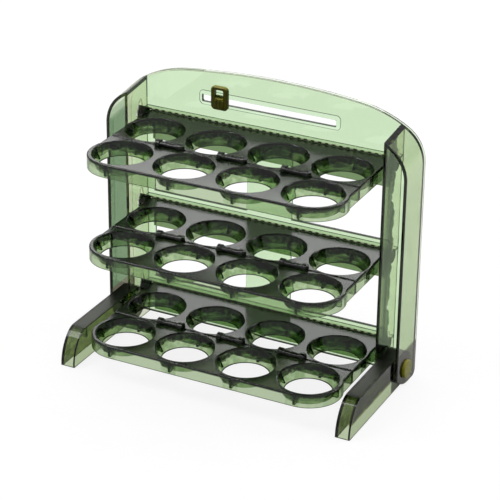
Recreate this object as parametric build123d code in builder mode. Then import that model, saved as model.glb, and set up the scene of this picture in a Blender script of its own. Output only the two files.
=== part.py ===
"""Fridge egg holder: a clear plastic stand with three folding egg trays, a sliding marker and two fold-up feet.

Millimetres, +Z up, +X along the rows of cups, +Y towards the back panel.
The origin is the middle of the footprint, on the surface that the holder stands on.
"""
import os
from math import asin, atan2, degrees, hypot, radians, sin

from build123d import *

# Cups and tiers
cups_per_row = 4
cup_pitch = 52.0
row_spacing = 50.3
egg_hole_radius = 23.0
cup_bottom_radius = 18.0
cup_depth = 10.4
cup_wall = 1.5
tier_names = ["bottom", "middle", "top"]
tier_spacing = 75.0
lowest_tray_height = 29.0

# Tray halves
tray_plate = 2.0
skirt_depth = 10.4
skirt_wall = 1.5
rear_flange_depth = 24.0
rear_flange_wall = 2.0
rear_flange_rounding = 0.9
rim_margin = 3.3
side_margin = 1.6
parting_gap = 0.6
rib_wall = 2.0
rib_depth = 8.6
hole_rounding = 1.2
tray_edge_rounding = 1.3
tray_corner_radius = 3.0
tray_overhang = 8.2
rear_tooth_width = 1.6
rear_tooth_depth = 1.0
rear_tooth_height = 2.4
rear_tooth_pitch = 11.0
rear_tooth_count = 17

# Hinge between the rear and the front half of a tray
fold_axis_rise = 1.0
barrel_radius = 2.75
barrel_length = 14.0
ring_relief = 0.4
ring_width = 1.6
ring_count = 5
lug_radius = 3.75
lug_length = 3.5
lug_side_gap = 0.3
fold_clearance = 0.35
fold_pin_radius = 1.5
fold_pin_fit = 0.02
lug_rib_wall = 1.8

# Trunnions that carry a tray in the side walls
trunnion_radius = 5.5
trunnion_root = 1.2
trunnion_drop = 1.0
trunnion_from_row = 28.0
trunnion_end_rounding = 0.8

# Back panel and side columns
panel_wall = 2.4
panel_gap = 2.4
column_wall = 2.4
column_depth = 34.1
channel_width = 14.3
side_gap = 3.9
crown_half_width = 73.0
crown_radius = 600.0
shoulder_turn = 24.0
corner_radius = 30.0
shoulder_fall = 3.5
lip_width = 1.4
lip_depth = 1.6
base_rise = 10.0
base_run = 23.0
heel_radius = 5.0
column_edge_rounding = 0.8

# Openings in the back panel
strip_width = 39.0
window_side_margin = 6.2
window_sill_height = 5.5
window_head_drop = 13.0
window_corner_radius = 1.5
window_edge_rounding = 0.8

# Ledge over the rear edge of each tray
ledge_overlap = 2.1
ledge_thickness = 1.8
ledge_gap = 0.3

# Lead-in groove over each trunnion hole
groove_depth = 1.6
groove_height = 9.5
groove_top_radius = 1.8
groove_foot_radius = 4.6

# Marker slot and slider
slot_length = 112.0
slot_height = 4.8
slot_offset = -1.8
slot_height_above_top_tray = 16.7
crown_height_above_slot = 24.6
slot_corner_radius = 1.2
slot_edge_rounding = 0.5
recess_margin = 3.4
recess_depth = 0.8
slider_width = 14.5
slider_height = 19.1
slider_thickness = 2.8
slider_corner_radius = 3.4
slider_rise = 2.65
slider_rest_offset = 40.6
slider_window_width = 7.2
slider_window_height = 7.6
slider_window_drop = 2.6
slider_window_corner_radius = 1.2
slider_bevel = 0.8
grip_count = 3
grip_pitch = 3.1
grip_width = 1.4
grip_height = 5.8
grip_rise = 2.4
grip_relief = 0.6
slider_gap = 0.15
stem_length = 9.0
catch_overhang = 1.5
catch_thickness = 1.4
stem_slit = 1.0

# Feet
foot_width = 11.8
foot_height = 27.2
foot_reach = 96.5
foot_wall = 1.8
foot_nose_length = 20.0
foot_brow_radius = 14.6
foot_rib_depth = 9.0
foot_outer_gap = 0.6
foot_back_gap = 2.0
foot_hub_wall = 9.4

# Foot pivot pins
foot_pin_radius = 3.5
foot_pin_fit = 0.02
cap_radius = 7.35
cap_thickness = 2.2
cap_rounding = 1.0

# Running fits and cuts
running_clearance = 0.06
overrun = 1.0

# Places that follow from the sizes above
row_half_length = cup_pitch * (cups_per_row - 1) / 2
ring_radius = egg_hole_radius + rim_margin
tray_half_width = row_half_length + egg_hole_radius + side_margin
half_bay = tray_half_width + side_gap
channel_inner_x = half_bay + column_wall
half_outer = channel_inner_x + channel_width + column_wall

front_reach = row_spacing + ring_radius
panel_reach = trunnion_from_row + tray_overhang + panel_gap + panel_wall
rear_row_y = (front_reach - panel_reach - lip_depth) / 2
front_row_y = rear_row_y - row_spacing
parting_y = rear_row_y - row_spacing / 2
trunnion_y = rear_row_y + trunnion_from_row
tray_rear_y = trunnion_y + tray_overhang
panel_front_y = tray_rear_y + panel_gap
panel_rear_y = panel_front_y + panel_wall
column_front_y = panel_rear_y - column_depth

tier_tops = [lowest_tray_height + tier_spacing * tier for tier in range(len(tier_names))]
slot_z = tier_tops[-1] + slot_height_above_top_tray
overall_height = slot_z + crown_height_above_slot
slider_x = slot_offset - slider_rest_offset

foot_pivot_z = foot_height / 2
foot_pivot_y = panel_front_y - foot_back_gap - foot_height / 2
foot_outer_x = half_outer - column_wall - foot_outer_gap

crown_turn = degrees(asin(crown_half_width / crown_radius))
turned = sin(radians(crown_turn + shoulder_turn))
shoulder_radius = (
    (half_outer - crown_half_width - corner_radius * (1 - turned))
    / (turned - sin(radians(crown_turn)))
)

hinge_places = [cup_pitch * (slot - (cups_per_row - 2) / 2) for slot in range(cups_per_row - 1)]
lug_offset = barrel_length / 2 + lug_side_gap + lug_length / 2

os.makedirs("parts", exist_ok=True)


def write(builder, name):
    """Label the finished piece and write it as its own file."""
    builder.part.label = name
    export_step(builder.part, f"parts/{name}.step")


def arch(inset):
    """The stand's outline, drawn in by the inset except at its foot."""
    with BuildSketch() as outline:
        with BuildLine():
            crown = JernArc((0, overall_height - inset), (1, 0), crown_radius - inset, -crown_turn)
            shoulder = JernArc(crown @ 1, crown % 1, shoulder_radius - inset, -shoulder_turn)
            rest_of_turn = 90 - crown_turn - shoulder_turn
            corner = JernArc(shoulder @ 1, shoulder % 1, corner_radius - inset, -rest_of_turn)
            side = Line(corner @ 1, (half_outer - inset, 0))
            foot = Line(side @ 1, (0, 0))
            Line(foot @ 1, crown @ 0)
        make_face()
        mirror(about=Plane.YZ)
    return outline.sketch_local


full_arch = arch(0)
rim_arch = arch(lip_width)
wall_arch = arch(column_wall)

# Both columns seen from the front: an outer wall that curves over into the inner wall
with BuildSketch() as channels:
    add(wall_arch)
    with Locations((0, overall_height / 2)):
        Rectangle(2 * channel_inner_x, overall_height, mode=Mode.SUBTRACT)
with BuildSketch() as columns:
    add(full_arch)
    add(channels.sketch_local, mode=Mode.SUBTRACT)
    with Locations((0, overall_height / 2)):
        Rectangle(2 * half_bay, overall_height + overrun, mode=Mode.SUBTRACT)

# Plan of a tray's rear half
rear_half_depth = tray_rear_y - parting_y - parting_gap / 2
with BuildSketch() as rear_plan:
    with Locations((0, tray_rear_y - rear_half_depth / 2)):
        Rectangle(2 * tray_half_width, rear_half_depth)
    fillet(rear_plan.vertices().group_by(Axis.Y)[-1], tray_corner_radius)

# Plan of a tray's front half, whose front corners follow the end cups
front_half_rear_y = parting_y - parting_gap / 2
with BuildSketch() as front_plan:
    with Locations((0, front_row_y)):
        SlotCenterToCenter(2 * row_half_length, 2 * ring_radius)
    with Locations((0, (front_half_rear_y + front_row_y) / 2)):
        Rectangle(2 * tray_half_width, front_half_rear_y - front_row_y)
    with Locations((0, front_half_rear_y + ring_radius)):
        Rectangle(2 * (tray_half_width + ring_radius), 2 * ring_radius, mode=Mode.SUBTRACT)


with BuildPart() as main_frame:
    # Back panel with its rim
    with BuildSketch(Plane.XZ.offset(-panel_rear_y)):
        add(full_arch)
    extrude(amount=panel_wall)
    with BuildSketch(Plane.XZ.offset(-panel_rear_y)):
        add(full_arch)
        add(rim_arch, mode=Mode.SUBTRACT)
    extrude(amount=-lip_depth)

    # Side columns, whose tops fall a little towards the front
    column_run = panel_front_y - column_front_y
    with BuildSketch(Plane.XZ.offset(-panel_front_y)):
        add(columns.sketch_local)
    extrude(amount=hypot(column_run, shoulder_fall), dir=(0, -column_run, -shoulder_fall))

    # The columns' feet curve up at the front and are rounded at the heel
    base_radius = (base_run**2 + base_rise**2) / (2 * base_rise)
    rim_rear_y = panel_rear_y + lip_depth
    with BuildSketch(Plane.YZ.offset(-half_outer - overrun)):
        with BuildLine():
            heel = JernArc((rim_rear_y, heel_radius), (0, -1), heel_radius, -90)
            ground = Line(heel @ 1, (column_front_y + base_run, 0))
            toe = JernArc(ground @ 1, (-1, 0), base_radius, -degrees(asin(base_run / base_radius)))
            ahead = Line(toe @ 1, (column_front_y - overrun, base_rise))
            below = Line(ahead @ 1, (column_front_y - overrun, -shoulder_fall - overrun))
            behind = Line(below @ 1, (rim_rear_y + overrun, -shoulder_fall - overrun))
            up_behind = Line(behind @ 1, (rim_rear_y + overrun, heel_radius))
            Line(up_behind @ 1, heel @ 0)
        make_face()
    extrude(amount=2 * (half_outer + overrun), mode=Mode.SUBTRACT)

    # Rounded front edges of the column walls
    front_edges = main_frame.edges().group_by(Axis.Y)[0]
    fillet(front_edges, column_edge_rounding)

    # A ledge over the rear edge of each tray
    ledge_depth = panel_gap + ledge_overlap
    for top in tier_tops:
        with BuildSketch(Plane.XY.offset(top + ledge_gap)):
            with Locations((0, panel_front_y - ledge_depth / 2)):
                Rectangle(2 * half_bay, ledge_depth)
        extrude(amount=ledge_thickness)

    # Two windows between each pair of tiers, with a strip left between them
    window_width = half_bay - window_side_margin - strip_width / 2
    window_height = tier_spacing - window_sill_height - window_head_drop
    with BuildSketch(Plane.XZ.offset(-panel_rear_y - overrun)):
        for lower_top in tier_tops[:-1]:
            window_z = lower_top + window_sill_height + window_height / 2
            with Locations((0, window_z)):
                with GridLocations(strip_width + window_width, 0, 2, 1):
                    RectangleRounded(window_width, window_height, window_corner_radius)
    extrude(amount=panel_wall + 2 * overrun, mode=Mode.SUBTRACT)
    panel_middle_y = (panel_front_y + panel_rear_y) / 2
    panel_edges = main_frame.edges().filter_by(
        lambda edge: panel_wall / 4 < abs(edge.center().Y - panel_middle_y) < panel_wall / 2 + window_edge_rounding / 2
        and abs(edge.center().X) < half_bay - window_side_margin / 2
    )
    window_edges = [
        edge
        for edge in panel_edges
        for lower_top in tier_tops[:-1]
        if lower_top + window_sill_height / 2 < edge.center().Z - ledge_thickness
        and edge.center().Z < lower_top + tier_spacing - window_head_drop / 2
    ]
    fillet(window_edges, window_edge_rounding)

    # Marker slot, with a shallow recess round it in the back of the panel
    recess_length = slot_length + 2 * recess_margin
    recess_height = slot_height + 2 * recess_margin
    with BuildSketch(Plane.XZ.offset(-panel_rear_y)):
        with Locations((slot_offset, slot_z)):
            RectangleRounded(recess_length, recess_height, recess_margin)
    extrude(amount=recess_depth, mode=Mode.SUBTRACT)
    with BuildSketch(Plane.XZ.offset(-panel_rear_y - overrun)):
        with Locations((slot_offset, slot_z)):
            RectangleRounded(slot_length, slot_height, slot_corner_radius)
    extrude(amount=panel_wall + 2 * overrun, mode=Mode.SUBTRACT)
    slot_edges = main_frame.edges().filter_by(
        lambda edge: abs(edge.center().Y - panel_front_y) < slot_edge_rounding / 2
        and abs(edge.center().Z - slot_z) < slot_height
        and abs(edge.center().X - slot_offset) < slot_length
    )
    fillet(slot_edges.filter_by(lambda edge: abs(edge.center().X) < half_bay - slot_height), slot_edge_rounding)

    # Holes for the trays' trunnions in the inner walls, each with a lead-in groove over it
    for top in tier_tops:
        trunnion_z = top - trunnion_drop
        with Locations((0, trunnion_y, trunnion_z)):
            Cylinder(
                trunnion_radius + running_clearance,
                2 * channel_inner_x + channel_width,
                rotation=(0, 90, 0),
                mode=Mode.SUBTRACT,
            )
        for side in (-1, 1):
            with BuildSketch(Plane.YZ.offset(side * half_bay)):
                with Locations((trunnion_y, trunnion_z)):
                    Circle(groove_foot_radius)
                with Locations((trunnion_y, trunnion_z + groove_height)):
                    Circle(groove_top_radius)
                make_hull()
            extrude(amount=side * groove_depth, mode=Mode.SUBTRACT)

    # Holes for the feet's pivot pins through both walls of each column
    with Locations((0, foot_pivot_y, foot_pivot_z)):
        Cylinder(
            foot_pin_radius + foot_pin_fit,
            2 * (half_outer + overrun),
            rotation=(0, 90, 0),
            mode=Mode.SUBTRACT,
        )
write(main_frame, "main_frame")


def tray_body(outline, row_y, top):
    """Add to the current part a skirted plate with a row of ribbed, open-bottomed cups."""
    with BuildSketch(Plane.XY.offset(top)) as plan:
        add(outline)
    extrude(plan.sketch, amount=-skirt_depth)
    fillet(faces().sort_by(Axis.Z)[-1].edges(), tray_edge_rounding)
    with BuildSketch(Plane.XY.offset(top - tray_plate)) as hollow:
        add(outline)
        offset(amount=-skirt_wall, kind=Kind.INTERSECTION, mode=Mode.REPLACE)
    extrude(hollow.sketch, amount=-skirt_depth, mode=Mode.SUBTRACT)

    # Ribs tie the cups to each other and to the skirt
    with BuildSketch(Plane.XY.offset(top - tray_plate / 2)) as ribs:
        with Locations((0, row_y)):
            Rectangle(2 * tray_half_width - skirt_wall, rib_wall)
            with GridLocations(cup_pitch, 0, cups_per_row, 1):
                Rectangle(rib_wall, 2 * ring_radius)
        add(outline, mode=Mode.INTERSECT)
    extrude(ribs.sketch, amount=-rib_depth)

    cup_slope = (egg_hole_radius - cup_bottom_radius) / cup_depth
    with Locations((0, row_y, top - cup_depth / 2)):
        with GridLocations(cup_pitch, 0, cups_per_row, 1):
            Cone(cup_bottom_radius + cup_wall, egg_hole_radius + cup_wall, cup_depth)
            Cone(
                cup_bottom_radius - cup_slope * overrun,
                egg_hole_radius + cup_slope * overrun,
                cup_depth + 2 * overrun,
                mode=Mode.SUBTRACT,
            )
    round_edges = edges().filter_by(GeomType.CIRCLE)
    rims = round_edges.filter_by(
        lambda edge: edge.center().Z > top - cup_wall / 2 and abs(edge.radius - egg_hole_radius) < cup_wall / 2
    )
    fillet(rims, hole_rounding)


for tier_name, top in zip(tier_names, tier_tops):
    fold_z = top + fold_axis_rise

    with BuildPart() as tray_rear:
        tray_body(rear_plan.sketch_local, rear_row_y, top)

        # Deep flange along the back
        with BuildSketch(Plane.XY.offset(top - tray_plate / 2)):
            with Locations((0, tray_rear_y - rear_flange_wall / 2)):
                Rectangle(2 * (tray_half_width - tray_corner_radius), rear_flange_wall)
        extrude(amount=tray_plate / 2 - rear_flange_depth)
        fillet(tray_rear.edges().filter_by(Axis.X).group_by(Axis.Z)[0], rear_flange_rounding)

        # Teeth on the back of the rear skirt
        with BuildSketch(Plane.XY.offset(top - tray_edge_rounding)):
            with Locations((0, tray_rear_y + rear_tooth_depth / 2)):
                with GridLocations(rear_tooth_pitch, 0, rear_tooth_count, 1):
                    Rectangle(rear_tooth_width, rear_tooth_depth)
        extrude(amount=-rear_tooth_height)

        # Trunnions at the rear corners
        trunnion_length = channel_inner_x - tray_half_width + trunnion_root
        trunnion_centre_x = channel_inner_x - trunnion_length / 2
        with Locations((0, trunnion_y, top - trunnion_drop)):
            with Locations((-trunnion_centre_x, 0, 0), (trunnion_centre_x, 0, 0)):
                Cylinder(trunnion_radius, trunnion_length, rotation=(0, 90, 0))

        # Ringed middle barrels of the fold hinge, and room for the other half's lugs
        for hinge_x in hinge_places:
            with Locations((hinge_x, parting_y, fold_z)):
                with Locations((-lug_offset, 0, 0), (lug_offset, 0, 0)):
                    Cylinder(
                        lug_radius + fold_clearance,
                        lug_length + 2 * lug_side_gap,
                        rotation=(0, 90, 0),
                        mode=Mode.SUBTRACT,
                    )
                Cylinder(barrel_radius - ring_relief, barrel_length, rotation=(0, 90, 0))
                with GridLocations((barrel_length - ring_width) / (ring_count - 1), 0, ring_count, 1):
                    Cylinder(barrel_radius, ring_width, rotation=(0, 90, 0))
                Cylinder(
                    fold_pin_radius + running_clearance,
                    barrel_length + 2 * overrun,
                    rotation=(0, 90, 0),
                    mode=Mode.SUBTRACT,
                )
    write(tray_rear, f"tray_rear_{tier_name}")

    with BuildPart() as tray_front:
        tray_body(front_plan.sketch_local, front_row_y, top)

        # Lugs of the fold hinge on their ribs, and room for the middle barrels
        for hinge_x in hinge_places:
            with Locations((hinge_x, parting_y, fold_z)):
                Cylinder(
                    barrel_radius + fold_clearance,
                    barrel_length + 2 * lug_side_gap,
                    rotation=(0, 90, 0),
                    mode=Mode.SUBTRACT,
                )
                with Locations((-lug_offset, 0, 0), (lug_offset, 0, 0)):
                    Cylinder(lug_radius, lug_length, rotation=(0, 90, 0))
                    Cylinder(
                        fold_pin_radius + fold_pin_fit,
                        lug_length + 2 * overrun,
                        rotation=(0, 90, 0),
                        mode=Mode.SUBTRACT,
                    )
    write(tray_front, f"tray_front_{tier_name}")

    with BuildPart() as fold_pins:
        fold_pin_length = 2 * lug_offset + lug_length
        for hinge_x in hinge_places:
            with Locations((hinge_x, parting_y, fold_z)):
                Cylinder(fold_pin_radius, fold_pin_length, rotation=(0, 90, 0))
    write(fold_pins, f"fold_pins_{tier_name}")


with BuildPart() as date_slider:
    # Square tab in front of the panel, with a window and three grip ribs
    slider_z = slot_z + slider_rise
    slider_rear_y = panel_front_y - slider_gap
    tab_front_y = slider_rear_y - slider_thickness
    with BuildSketch(Plane.XZ.offset(-slider_rear_y)):
        with Locations((slider_x, slider_z)):
            RectangleRounded(slider_width, slider_height, slider_corner_radius)
    extrude(amount=slider_thickness)
    chamfer(date_slider.faces().sort_by(Axis.Y)[0].edges(), slider_bevel)
    slider_window_z = slider_z + slider_height / 2 - slider_window_drop - slider_window_height / 2
    with BuildSketch(Plane.XZ.offset(-slider_rear_y)):
        with Locations((slider_x, slider_window_z)):
            RectangleRounded(slider_window_width, slider_window_height, slider_window_corner_radius)
    extrude(amount=slider_thickness, mode=Mode.SUBTRACT)
    with BuildSketch(Plane.XZ.offset(-tab_front_y)):
        with Locations((slider_x, slider_z - slider_height / 2 + grip_rise + grip_height / 2)):
            with GridLocations(grip_pitch, 0, grip_count, 1):
                RectangleRounded(grip_width, grip_height, grip_width / 3)
    extrude(amount=grip_relief)

    # Split stem through the slot, with catches behind the panel
    stem_height = slot_height - 2 * slider_gap
    catch_front_y = panel_rear_y - recess_depth + slider_gap
    with BuildSketch(Plane.XZ.offset(-catch_front_y - catch_thickness)):
        with Locations((slider_x, slot_z)):
            Rectangle(stem_length, stem_height)
    extrude(amount=catch_front_y + catch_thickness - slider_rear_y)
    with BuildSketch(Plane.XZ.offset(-catch_front_y - catch_thickness)):
        with Locations((slider_x, slot_z)):
            Rectangle(stem_length, stem_height + 2 * catch_overhang)
    extrude(amount=catch_thickness)
    with BuildSketch(Plane.XZ.offset(-catch_front_y - catch_thickness - overrun)):
        with Locations((slider_x, slot_z)):
            Rectangle(stem_length + overrun, stem_slit)
    extrude(amount=catch_thickness + panel_wall - recess_depth + overrun, mode=Mode.SUBTRACT)
write(date_slider, "date_slider")


# Side view of a foot: round behind, flat on top, with a nose of two arcs
foot_tip_y = foot_pivot_y - foot_reach
foot_shoulder_y = foot_tip_y + foot_nose_length
nose_radius = (foot_nose_length**2 + foot_height**2 - 2 * foot_height * foot_brow_radius) / (
    2 * (foot_nose_length - foot_brow_radius)
)
brow_turn = degrees(atan2(nose_radius - foot_nose_length, foot_height - foot_brow_radius))
with BuildSketch() as foot_side:
    with BuildLine():
        knuckle = JernArc((foot_pivot_y, 0), (1, 0), foot_height / 2, 180)
        deck = Line(knuckle @ 1, (foot_shoulder_y, foot_height))
        brow = JernArc(deck @ 1, (-1, 0), foot_brow_radius, brow_turn)
        nose = JernArc(brow @ 1, brow % 1, nose_radius, 90 - brow_turn)
        Line(nose @ 1, knuckle @ 0)
    make_face()

# Its hollow, which is open below
with BuildSketch() as foot_hollow:
    add(foot_side.sketch)
    offset(amount=-foot_wall, mode=Mode.REPLACE)
    hollow_length = foot_pivot_y - foot_tip_y - foot_wall
    with Locations((foot_pivot_y - hollow_length / 2, 0)):
        Rectangle(hollow_length, 2 * (foot_wall + overrun))

for side, side_name in ((-1, "left"), (1, "right")):
    foot_middle_x = side * (foot_outer_x - foot_width / 2)

    with BuildPart() as foot:
        with BuildSketch(Plane.YZ.offset(foot_middle_x)):
            add(foot_side.sketch)
        extrude(amount=foot_width / 2, both=True)
        with BuildSketch(Plane.YZ.offset(foot_middle_x)):
            add(foot_hollow.sketch)
        extrude(amount=foot_width / 2 - foot_wall, both=True, mode=Mode.SUBTRACT)

        # Cross rib under the front end of the deck
        with BuildSketch(Plane.YZ.offset(foot_middle_x)):
            with Locations((foot_shoulder_y + foot_wall / 2, foot_height - foot_wall / 2 - foot_rib_depth / 2)):
                Rectangle(foot_wall, foot_rib_depth)
        extrude(amount=foot_width / 2 - foot_wall / 2, both=True)

        # Hub round the pivot pin
        with Locations((foot_middle_x, foot_pivot_y, foot_pivot_z)):
            Cylinder(foot_pin_radius + foot_hub_wall, foot_width, rotation=(0, 90, 0))
            Cylinder(
                foot_pin_radius + running_clearance,
                foot_width + overrun,
                rotation=(0, 90, 0),
                mode=Mode.SUBTRACT,
            )
    write(foot, f"foot_{side_name}")

    with BuildPart() as foot_pin:
        shaft_length = half_outer - half_bay
        with Locations((side * (half_bay + shaft_length / 2), foot_pivot_y, foot_pivot_z)):
            Cylinder(foot_pin_radius, shaft_length, rotation=(0, 90, 0))
        with Locations((side * (half_outer + cap_thickness / 2), foot_pivot_y, foot_pivot_z)):
            Cylinder(cap_radius, cap_thickness, rotation=(0, 90, 0))
        outer_face = foot_pin.faces().filter_by(Axis.X).sort_by(Axis.X)[-1 if side > 0 else 0]
        fillet(outer_face.edges(), cap_rounding)
    write(foot_pin, f"foot_pin_{side_name}")
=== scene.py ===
"""Looks of the fridge egg holder: clear green plastic, a white studio and the photograph's camera."""
from math import radians

import bpy
from mathutils import Matrix, Vector

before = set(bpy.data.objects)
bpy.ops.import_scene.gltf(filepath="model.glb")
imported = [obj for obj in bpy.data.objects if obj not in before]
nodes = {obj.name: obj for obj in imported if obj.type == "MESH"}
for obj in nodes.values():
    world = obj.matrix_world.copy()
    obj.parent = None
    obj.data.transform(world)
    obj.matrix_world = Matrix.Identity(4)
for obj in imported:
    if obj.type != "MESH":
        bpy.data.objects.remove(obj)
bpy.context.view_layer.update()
scene = bpy.context.scene

# The part's own spacings, in metres, which the tints and painted shade by place follow
cup_pitch = 0.052
row_spacing = 0.0503
parting_y = -0.00815
tier_spacing = 0.075
lowest_tray_top = 0.029

# Span in which nearly all of a noise lies, and half widths of a tint's edge in metres
noise_span = (0.3, 0.7)
soft_edge = 0.0002
crisp_edge = 0.0001
mm_per_m = 1000
white = (1.0, 1.0, 1.0)


def node_adder(tree):
    """A function that adds nodes to a tree, each input given by name or by number, as a value or a link."""

    def add(kind, **inputs):
        node = tree.nodes.new("ShaderNode" + kind)
        for key, value in inputs.items():
            number = key[1:]
            socket = node.inputs[int(number) if number.isdigit() else key.replace("_", " ")]
            if isinstance(value, bpy.types.NodeSocket):
                tree.links.new(value, socket)
            else:
                socket.default_value = value
        return node

    return add


def new_material(name):
    """An empty node material, and a function that adds nodes to it."""
    material = bpy.data.materials.new(name)
    material.use_nodes = True
    material.node_tree.nodes.clear()
    return material, node_adder(material.node_tree)


def maths(add, operation, first, second=0.0, clamp=False):
    """The result of one sum."""
    node = add("Math", _0=first, _1=second)
    node.operation = operation
    node.use_clamp = clamp
    return node.outputs[0]


def times(add, first, second):
    """The product of two numbers."""
    return maths(add, "MULTIPLY", first, second)


def ramp(add, value, span, start=0.0, end=1.0):
    """A number that runs from start to end while the value passes a span, and is held outside it."""
    low, high = span
    node = add("MapRange", Value=value, From_Min=low, From_Max=high, To_Min=start, To_Max=end)
    node.clamp = True
    return node.outputs[0]


def below(add, value, span):
    """One where the value is under a span, fading to nought above it."""
    return ramp(add, value, span, 1.0, 0.0)


def between(add, value, span, edge=soft_edge):
    """One where the value lies in a span, and nought elsewhere."""
    low, high = span
    over_low = ramp(add, value, (low - edge, low + edge))
    return times(add, over_low, below(add, value, (high - edge, high + edge)))


def past(add, value, middle, reach):
    """How far the value lies outside the reach of a middle, or nought inside it."""
    offset = maths(add, "ABSOLUTE", maths(add, "SUBTRACT", value, middle))
    return maths(add, "MAXIMUM", maths(add, "SUBTRACT", offset, reach), 0.0)


def split(add, vector):
    """The three parts of a vector."""
    node = add("SeparateXYZ", Vector=vector)
    return [node.outputs[axis] for axis in "XYZ"]


def length(add, first, second):
    """Length of the vector that two numbers make."""
    node = add("VectorMath", _0=add("CombineXYZ", X=first, Y=second).outputs[0])
    node.operation = "LENGTH"
    return node.outputs["Value"]


def noise(add, vector, scale, detail=2.0):
    """Cloudy noise."""
    return add("TexNoise", Vector=vector, Scale=scale, Detail=detail).outputs["Fac"]


def side_noise(add, y, z, scale, detail=2.0):
    """Cloudy noise that stays the same from left to right."""
    return noise(add, add("CombineXYZ", Y=y, Z=z).outputs[0], scale, detail)


def two_tone(add, value, span, tones):
    """A colour that runs from one tone to another while the value passes a span."""
    node = add("ValToRGB", Fac=value)
    for stop, position, tone in zip(node.color_ramp.elements, span, tones):
        stop.position = position
        stop.color = (*tone, 1)
    return node.outputs["Color"]


def blend_colours(add, factor, first, second):
    """Mix two colours, each a link or a plain colour."""
    mixed = add("Mix", Factor=factor)
    mixed.data_type = "RGBA"
    for slot, colour in ((6, first), (7, second)):
        if isinstance(colour, bpy.types.NodeSocket):
            mixed.id_data.links.new(colour, mixed.inputs[slot])
        else:
            mixed.inputs[slot].default_value = (*colour, 1.0)
    return mixed.outputs[2]


def clear_plastic(name, loss_per_mm, polish, wave, shade, satin_top=0.0, level_face_shade=None):
    """Tinted clear plastic that darkens with the length of the light's way through it.

    wave makes its surface uneven, shade adds tints and painted shade by place, satin_top roughens the faces
    that look up, and level_face_shade paints shade onto the level faces, darker than elsewhere.
    """
    grain_scale, wave_scale, wave_height = 900.0, 90.0, 0.0004
    facing_up, level_span = (0.97, 0.995), (0.9, 0.98)
    material, add = new_material(name)
    place = add("TexCoord")
    up = split(add, place.outputs["Normal"])[2]
    grain = noise(add, place.outputs["Object"], grain_scale)
    rough = ramp(add, grain, noise_span, polish * 0.6, polish * 1.4)
    if satin_top:
        rough = maths(add, "ADD", rough, times(add, ramp(add, up, facing_up), satin_top))
    colour = white
    # Painted shade: level faces are darker than the rest
    if level_face_shade:
        level = ramp(add, maths(add, "ABSOLUTE", up), level_span)
        colour = blend_colours(add, level, colour, level_face_shade)
    waves = noise(add, place.outputs["Object"], wave_scale)
    bump = add("Bump", Strength=wave, Distance=wave_height, Height=waves)
    shader = add(
        "BsdfPrincipled",
        Base_Color=shade(add, place, colour),
        Roughness=rough,
        IOR=1.49,
        Transmission_Weight=1.0,
        Normal=bump.outputs["Normal"],
    )
    losses = [loss * mm_per_m for loss in loss_per_mm]
    density = max(losses)
    passed = [1 - loss / density for loss in losses]
    volume = add("VolumeAbsorption", Color=(*passed, 1.0), Density=density)
    add("OutputMaterial", Surface=shader.outputs[0], Volume=volume.outputs[0])
    return material


def olive_plastic(name, tones):
    """Olive plastic, nearly opaque, with a soft sheen and painted light that makes its upper faces lighter.
    """
    # Painted light: faces that look up get a lighter olive, as if lit from above
    painted_top_light, facing_up = (0.42, 0.38, 0.06), (0.3, 0.9)
    cloud_scale, grain_scale, grain_height = 220.0, 2500.0, 0.0002
    smoothest, dullest = 0.22, 0.36
    material, add = new_material(name)
    place = add("TexCoord")
    up = split(add, place.outputs["Normal"])[2]
    tone = two_tone(add, noise(add, place.outputs["Object"], cloud_scale, 3.0), noise_span, tones)
    grain = noise(add, place.outputs["Object"], grain_scale)
    bump = add("Bump", Strength=0.12, Distance=grain_height, Height=grain)
    shader = add(
        "BsdfPrincipled",
        Base_Color=blend_colours(add, ramp(add, up, facing_up), tone, painted_top_light),
        Roughness=ramp(add, grain, noise_span, smoothest, dullest),
        IOR=1.5,
        Specular_IOR_Level=0.3,
        Normal=bump.outputs["Normal"],
    )
    add("OutputMaterial", Surface=shader.outputs[0])
    return material


def height_over_tray(add, z):
    """Height over the top of the nearest tray."""
    half_tier = tier_spacing / 2
    lifted = maths(add, "ADD", z, half_tier - lowest_tray_top)
    return maths(add, "SUBTRACT", maths(add, "MODULO", lifted, tier_spacing), half_tier)


def from_cell_middle(add, value, pitch):
    """Distance from the middle of the cell that a value lies in, along a row of cells."""
    cell = maths(add, "FRACT", maths(add, "DIVIDE", value, pitch))
    return times(add, maths(add, "SUBTRACT", cell, 0.5), pitch)


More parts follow.
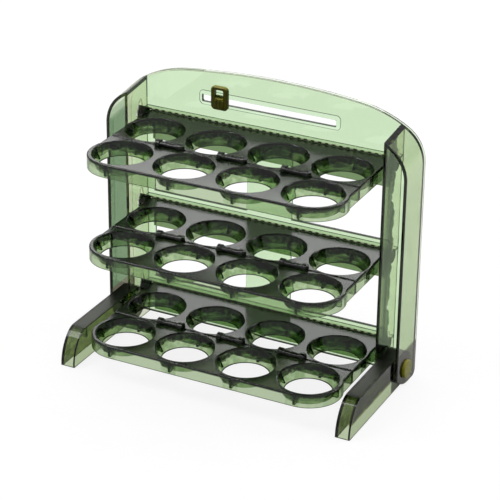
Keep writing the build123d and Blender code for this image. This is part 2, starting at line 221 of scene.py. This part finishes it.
def frame_shade(add, place, colour):
    """Tints of the frame by place on the panel and ledges, and painted shade at the slot, sills, ledges,
    columns and their bases.
    """
    x, y, z = split(add, place.outputs["Object"])
    facing_y = split(add, place.outputs["Normal"])[1]
    side = maths(add, "ABSOLUTE", x)
    over_tray = height_over_tray(add, z)

    # Back panel
    panel_tint, panel_y = (0.795, 0.983, 0.787), (0.0553, 0.0583)
    panel = between(add, y, panel_y, crisp_edge)
    colour = blend_colours(add, panel, colour, panel_tint)

    # Painted shade: a dark line along the rounded edge of the recess round the slot, in the back of the panel
    recess_line_shade, recess_y = (0.10, 0.14, 0.09), (0.0570, 0.0583)
    slot_x, slot_half_length = -0.0018, 0.0560
    slot_z, slot_half_height = 0.1957, 0.0024
    line_from_slot = (0.0031, 0.0036)
    from_slot = length(add, past(add, x, slot_x, slot_half_length), past(add, z, slot_z, slot_half_height))
    line = between(add, from_slot, line_from_slot, crisp_edge)
    recess_line = times(add, line, between(add, y, recess_y, crisp_edge))
    colour = blend_colours(add, recess_line, colour, recess_line_shade)

    # Painted shade: near-black lines on the slot's lower and left edges, and on the sills of the lower and
    # upper windows
    cut_edge_shade = (0.015, 0.02, 0.015)
    slot_foot_x, slot_foot_z = (-0.0583, 0.0543), (0.1925, 0.1935)
    slot_end_x, slot_end_z = (-0.0586, -0.0576), (0.1930, 0.1985)
    window_side = (0.0190, 0.1012)
    lower_sill_z, upper_sill_z = (0.0335, 0.0347), (0.1085, 0.1097)
    slot_foot = times(add, between(add, z, slot_foot_z, crisp_edge), between(add, x, slot_foot_x))
    slot_end = times(add, between(add, z, slot_end_z), between(add, x, slot_end_x, crisp_edge))
    lower_sill = between(add, z, lower_sill_z, crisp_edge)
    upper_sill = between(add, z, upper_sill_z, crisp_edge)
    sills = times(add, maths(add, "ADD", lower_sill, upper_sill), between(add, side, window_side))
    cuts = maths(add, "ADD", maths(add, "MAXIMUM", slot_foot, slot_end), sills, clamp=True)
    colour = blend_colours(add, times(add, panel, cuts), colour, cut_edge_shade)

    # Ledges over the trays, with painted shade in a dashed dark lower edge in front
    ledge_tint, dash_shade = (0.90, 1.0, 0.93), (0.004, 0.006, 0.004)
    ledge_y, ledge_end = (0.0506, 0.0554), (0.1062, 0.1064)
    facing_front = (-0.8, -0.6)
    dash_pitch, dash_side = 0.0058, (0.22, 0.28)
    dash_foot, dash_height = 0.0007, 0.0011
    ledge = times(add, between(add, y, ledge_y, crisp_edge), below(add, side, ledge_end))
    colour = blend_colours(add, ledge, colour, ledge_tint)
    dash = maths(add, "PINGPONG", maths(add, "DIVIDE", x, dash_pitch), 0.5)
    dash_top = maths(add, "ADD", times(add, ramp(add, dash, dash_side), dash_height), dash_foot)
    nose = times(add, ledge, below(add, facing_y, facing_front))
    dashed = times(add, nose, maths(add, "LESS_THAN", over_tray, dash_top))
    colour = blend_colours(add, dashed, colour, dash_shade)

    # Painted shade darkening the left column's outer wall
    left_wall_shade = (0.20, 0.31, 0.21)
    left_wall_x, left_wall_rear = (-0.1258, -0.1230), (0.050, 0.052)
    left_wall = times(add, between(add, x, left_wall_x), below(add, y, left_wall_rear))
    colour = blend_colours(add, left_wall, colour, left_wall_shade)

    # Painted shade on the right column's outer wall below its curved top, in faint wavy upright dark streaks
    streak_shade_span, streak_shade_tones = (0.34, 0.42), ((0.70, 0.77, 0.66), (0.88, 0.91, 0.85))
    streak_shade_scale, streak_shade_stretch = 330.0, 0.12
    right_wall_x, curved_top = (0.1230, 0.1258), (0.160, 0.185)
    streak_shade = side_noise(add, y, times(add, z, streak_shade_stretch), streak_shade_scale, 3.0)
    right_wall = times(add, between(add, x, right_wall_x), below(add, z, curved_top))
    colour = blend_colours(add, right_wall, colour, two_tone(add, streak_shade, streak_shade_span, streak_shade_tones))

    # Painted shade on the right column's inner wall: dark in front with a wavy edge, and darker still at the
    # trays' trunnions
    inner_shade_span, inner_shade_tones = (0.25, 0.65), ((0.025, 0.04, 0.025), (0.22, 0.31, 0.15))
    streak_scale, streak_stretch = 260.0, 0.04
    inner_wall_x, wavy_edge_y = (0.1062, 0.1092), (0.0573, 0.0579)
    waver_scale, waver_depth = 55.0, 0.030
    darkening_y, at_front, at_rear = (0.029, 0.034), -0.12, 0.22
    trunnion_reach, at_trunnion = (0.006, 0.014), 0.35
    waver = side_noise(add, 0.0, z, waver_scale, 5.0)
    front = below(add, maths(add, "ADD", y, times(add, waver, waver_depth)), wavy_edge_y)
    streaks = side_noise(add, y, times(add, z, streak_stretch), streak_scale)
    deeper = maths(add, "SUBTRACT", streaks, ramp(add, y, darkening_y, at_front, at_rear))
    by_trunnion = ramp(add, maths(add, "ABSOLUTE", over_tray), trunnion_reach, at_trunnion, 0.0)
    inner_shade = two_tone(add, maths(add, "SUBTRACT", deeper, by_trunnion), inner_shade_span, inner_shade_tones)
    colour = blend_colours(add, times(add, front, between(add, x, inner_wall_x)), colour, inner_shade)

    # Painted shade: near-black front edges of the column walls, but for the left column's inner wall
    front_edge_shade, front_edge_y = (0.03, 0.035, 0.028), (0.0250, 0.0256)
    left_inner_wall_x = (-0.112, -0.100)
    front_edges = below(add, y, front_edge_y)
    front_edges = maths(add, "SUBTRACT", front_edges, between(add, x, left_inner_wall_x), clamp=True)
    colour = blend_colours(add, front_edges, colour, front_edge_shade)

    # Painted shade darkening the columns' outer walls round the feet's pivots
    base_shade = (0.19, 0.175, 0.15)
    outer_wall_side, base_top = (0.1228, 0.1262), (0.0297, 0.0303)
    base = times(add, between(add, side, outer_wall_side), below(add, z, base_top))
    return blend_colours(add, base, colour, base_shade)


def tray_shade(add, place, colour):
    """Tint of a tray's rear flange, and painted shade by place on its cup walls, upper skirt, hinge bars,
    trunnions and rear teeth.
    """
    x, y, z = split(add, place.outputs["Object"])
    up = split(add, place.outputs["Normal"])[2]
    steep_span = (0.85, 0.95)
    upright = below(add, maths(add, "ABSOLUTE", up), steep_span)
    height = height_over_tray(add, z)

    # Rear flange
    flange_tint, flange_y = (0.42, 0.52, 0.36), (0.0505, 0.0507)
    flange = times(add, ramp(add, y, flange_y), upright)
    colour = blend_colours(add, flange, colour, flange_tint)

    # Painted shade on the cup walls: lighter in the front row, and dark streaks in the rear row
    cup_rim, last_cup_y, rear_row_y = (0.0246, 0.0250), (0.0425, 0.0430), (-0.0085, -0.0078)
    front_row_shade_span, front_row_shade_tones = (0.40, 0.60), ((0.50, 0.62, 0.42), (0.82, 0.90, 0.74))
    streak_span, streak_tones = (0.42, 0.62), ((0.13, 0.17, 0.11), (0.66, 0.74, 0.58))
    cloud_scale, streak_scale, streak_stretch = 160.0, 190.0, (0.4, 0.4, 2.2)
    across = from_cell_middle(add, x, cup_pitch)
    along = from_cell_middle(add, maths(add, "ADD", y, -parting_y), row_spacing)
    cup = below(add, length(add, across, along), cup_rim)
    cup_wall = times(add, times(add, cup, below(add, y, last_cup_y)), upright)
    cloud = noise(add, place.outputs["Object"], cloud_scale, 4.0)
    front_row_shade = two_tone(add, cloud, front_row_shade_span, front_row_shade_tones)
    stretched = add("VectorMath", _0=place.outputs["Object"], _1=streak_stretch)
    stretched.operation = "MULTIPLY"
    streak = noise(add, stretched.outputs[0], streak_scale, 3.0)
    streaked = two_tone(add, streak, streak_span, streak_tones)
    cup_wall_shade = blend_colours(add, ramp(add, y, rear_row_y), front_row_shade, streaked)
    colour = blend_colours(add, cup_wall, colour, cup_wall_shade)

    # Painted shade: dark upper half of the cup walls, with a wavy lower edge
    upper_wall_shade_span, upper_wall_shade_tones = (0.45, 0.68), ((0.02, 0.026, 0.018), (0.22, 0.30, 0.16))
    upper_wall_shade_scale, upper_wall_shade_foot, waver_height = 340.0, (-0.0054, -0.0047), 0.008
    waver = times(add, maths(add, "SUBTRACT", cloud, 0.5), waver_height)
    upper_wall = times(add, cup_wall, ramp(add, maths(add, "ADD", height, waver), upper_wall_shade_foot))
    upper_wall_shade = two_tone(add, noise(add, place.outputs["Object"], upper_wall_shade_scale), upper_wall_shade_span, upper_wall_shade_tones)
    colour = blend_colours(add, upper_wall, colour, upper_wall_shade)

    # Painted shade: a dark band at the top of every upright wall
    top_band_shade, band_foot = (0.12, 0.14, 0.10), (-0.0022, -0.0018)
    band = times(add, upright, ramp(add, height, band_foot))
    colour = blend_colours(add, band, colour, top_band_shade)

    # Painted shade darkening the hinge bars, which stand over the tray's top, the trunnions and the rear
    # teeth
    dark_part_shade, tray_top = (0.075, 0.09, 0.065), (0.0002, 0.0006)
    tray_end, trunnion_y, teeth_y = (0.1030, 0.1034), (0.036, 0.038), (0.0533, 0.0535)
    hinge_bars = ramp(add, height, tray_top)
    at_sides = ramp(add, maths(add, "ABSOLUTE", x), tray_end)
    trunnions = times(add, at_sides, ramp(add, y, trunnion_y))
    teeth = ramp(add, y, teeth_y)
    dark = maths(add, "MAXIMUM", maths(add, "MAXIMUM", hinge_bars, trunnions), teeth)
    return blend_colours(add, dark, colour, dark_part_shade)


def foot_shade(add, place, colour):
    """Painted shade on the feet: mottled dark olive on each left wall and on the right foot's outer wall, and
    dark rear ends.
    """
    foot_wall_shade_span, foot_wall_shade_tones = (0.42, 0.62), ((0.13, 0.14, 0.06), (0.42, 0.42, 0.17))
    outer_wall_shade_span, outer_wall_shade_tones = (0.42, 0.64), ((0.10, 0.10, 0.035), (0.46, 0.44, 0.16))
    cloud_scale, cloud_stretch = 190.0, 0.6
    left_foot_wall_x, right_foot_wall_x = (-0.1229, -0.1208), (0.1108, 0.1129)
    outer_wall_x, outer_wall_foot = (0.1205, 0.1229), (0.0104, 0.0112)
    rear_shade, rear_y = (0.10, 0.11, 0.08), (0.0205, 0.0215)
    x, y, z = split(add, place.outputs["Object"])
    cloud = side_noise(add, times(add, y, cloud_stretch), z, cloud_scale, 3.0)
    # Painted shade: mottled dark olive on the left wall of each foot
    left_walls = maths(add, "ADD", between(add, x, left_foot_wall_x), between(add, x, right_foot_wall_x))
    colour = blend_colours(add, left_walls, colour, two_tone(add, cloud, foot_wall_shade_span, foot_wall_shade_tones))
    # Painted shade: mottled dark olive on the right foot's outer wall above its lower band
    outer_wall = times(add, between(add, x, outer_wall_x), ramp(add, z, outer_wall_foot))
    colour = blend_colours(add, outer_wall, colour, two_tone(add, cloud, outer_wall_shade_span, outer_wall_shade_tones))
    # Painted shade: dark rear ends of the feet
    return blend_colours(add, ramp(add, y, rear_y), colour, rear_shade)


frame_plastic = clear_plastic(
    "frame_plastic_look", loss_per_mm=(0.090, 0.079, 0.139), polish=0.02, wave=0.10, shade=frame_shade
)
tray_plastic = clear_plastic(
    "tray_plastic_look",
    loss_per_mm=(0.45, 0.33, 0.57),
    polish=0.03,
    wave=0.08,
    shade=tray_shade,
    satin_top=0.22,
    level_face_shade=(0.25, 0.24, 0.25),
)
foot_plastic = clear_plastic(
    "foot_plastic_look",
    loss_per_mm=(0.33, 0.25, 0.46),
    polish=0.03,
    wave=0.08,
    shade=foot_shade,
    satin_top=0.42,
    level_face_shade=(0.35, 0.33, 0.33),
)
slider_olive = olive_plastic("slider_plastic_look", tones=((0.052, 0.050, 0.003), (0.085, 0.080, 0.005)))
cap_olive = olive_plastic("cap_plastic_look", tones=((0.24, 0.24, 0.008), (0.31, 0.30, 0.014)))


def finish_for(name):
    """The finish of a CAD node."""
    if name == "main_frame":
        return frame_plastic
    if name == "date_slider":
        return slider_olive
    if name.startswith("foot_pin"):
        return cap_olive
    if name.startswith("foot_"):
        return foot_plastic
    return tray_plastic


for node_name in nodes:
    for slot in nodes[node_name].material_slots:
        slot.material = finish_for(node_name)

# White floor that keeps a faint shadow, and is a little darker in mirror reflections
floor_reach, floor_drop = 6.0, 0.0004
floor_tones, floor_grain_scale = ((0.16, 0.16, 0.16), (0.18, 0.18, 0.18)), 30.0
floor_glow = 0.86
mirrored_tone = (0.78, 0.78, 0.78)
floor_mesh = bpy.data.meshes.new("floor")
floor_corners = [(-floor_reach, -floor_reach, 0), (floor_reach, -floor_reach, 0)]
floor_corners += [(floor_reach, floor_reach, 0), (-floor_reach, floor_reach, 0)]
floor_mesh.from_pydata(floor_corners, [], [(0, 1, 2, 3)])
floor = bpy.data.objects.new("floor", floor_mesh)
scene.collection.objects.link(floor)
floor.location.z = -floor_drop
floor_look, add = new_material("floor_look")
rays = add("LightPath").outputs
floor_grain = noise(add, add("TexCoord").outputs["Object"], floor_grain_scale)
matte = add("BsdfDiffuse", Color=two_tone(add, floor_grain, (0.0, 1.0), floor_tones))
glow = add("Emission", Color=(*white, 1), Strength=floor_glow)
seen = maths(add, "MAXIMUM", rays["Is Camera Ray"], rays["Is Transmission Ray"])
glow_seen = add("MixShader", Fac=seen, _2=glow.outputs[0])
lit = add("AddShader", _0=matte.outputs[0], _1=glow_seen.outputs[0])
mirror_look = add("BsdfDiffuse", Color=(*mirrored_tone, 1))
mirrored = maths(add, "SUBTRACT", rays["Is Glossy Ray"], rays["Is Transmission Ray"], clamp=True)
shown = add("MixShader", Fac=mirrored, _1=lit.outputs[0], _2=mirror_look.outputs[0])
add("OutputMaterial", Surface=shown.outputs[0])
floor.data.materials.append(floor_look)

# World: white to the camera and low through the plastic, and a soft studio dome elsewhere
low_sky = 0.05
dome_rise, dome_low_strength, dome_high_strength = (-0.1, 0.8), 0.2, 0.8
world = bpy.data.worlds.new("studio")
scene.world = world
world.use_nodes = True
world.node_tree.nodes.clear()
add = node_adder(world.node_tree)
rays = add("LightPath").outputs
sky_height = split(add, add("TexCoord").outputs["Generated"])[2]
dome_strength = ramp(add, sky_height, dome_rise, dome_low_strength, dome_high_strength)
dome = add("Background", Color=(*white, 1), Strength=dome_strength)
backdrop = add("Background", Color=(*white, 1), Strength=1.0)
through = times(add, rays["Is Transmission Ray"], maths(add, "LESS_THAN", sky_height, low_sky))
seen = maths(add, "MAXIMUM", rays["Is Camera Ray"], through)
sky = add("MixShader", Fac=seen, _1=dome.outputs[0], _2=backdrop.outputs[0])
add("OutputWorld", Surface=sky.outputs[0])

# Soft lamps, which all shine at the middle of the part
lamp_aim = Vector((0, 0, 0.1))


def softbox(name, place, width, height, watts):
    """A soft rectangular lamp, not seen through the plastic."""
    lamp = bpy.data.lights.new(name, "AREA")
    lamp.shape = "RECTANGLE"
    lamp.size = width
    lamp.size_y = height
    lamp.energy = watts
    holder = bpy.data.objects.new(name, lamp)
    scene.collection.objects.link(holder)
    holder.location = place
    holder.visible_transmission = False
    holder.rotation_euler = (lamp_aim - Vector(place)).to_track_quat("-Z", "Y").to_euler()


softbox("key", place=(-0.9, -0.6, 1.5), width=0.7, height=0.7, watts=6.0)
softbox("rim", place=(0.9, 0.9, 1.2), width=0.6, height=0.6, watts=4.0)
softbox("sheen", place=(-0.75, 1.45, 0.95), width=1.5, height=0.6, watts=5.8)

# The photograph's camera
camera_place = (0.61586, -1.21409, 0.75875)
azimuth = radians(26.452)
elevation = radians(25.730)
roll = radians(0.674)
camera_data = bpy.data.cameras.new("camera")
camera_data.sensor_fit = "HORIZONTAL"
camera_data.sensor_width = 36.0
camera_data.lens = 144.525
camera_data.clip_end = 20.0
camera = bpy.data.objects.new("camera", camera_data)
scene.collection.objects.link(camera)
turn = (
    Matrix.Rotation(azimuth, 4, "Z")
    @ Matrix.Rotation(radians(90) - elevation, 4, "X")
    @ Matrix.Rotation(roll, 4, "Z")
)
camera.matrix_world = Matrix.Translation(camera_place) @ turn
scene.camera = camera

# Enough bounces for light to pass all the clear walls
scene.cycles.max_bounces = 40
scene.cycles.transmission_bounces = 40
scene.cycles.glossy_bounces = 12
scene.cycles.transparent_max_bounces = 16
scene.view_settings.view_transform = "Standard"
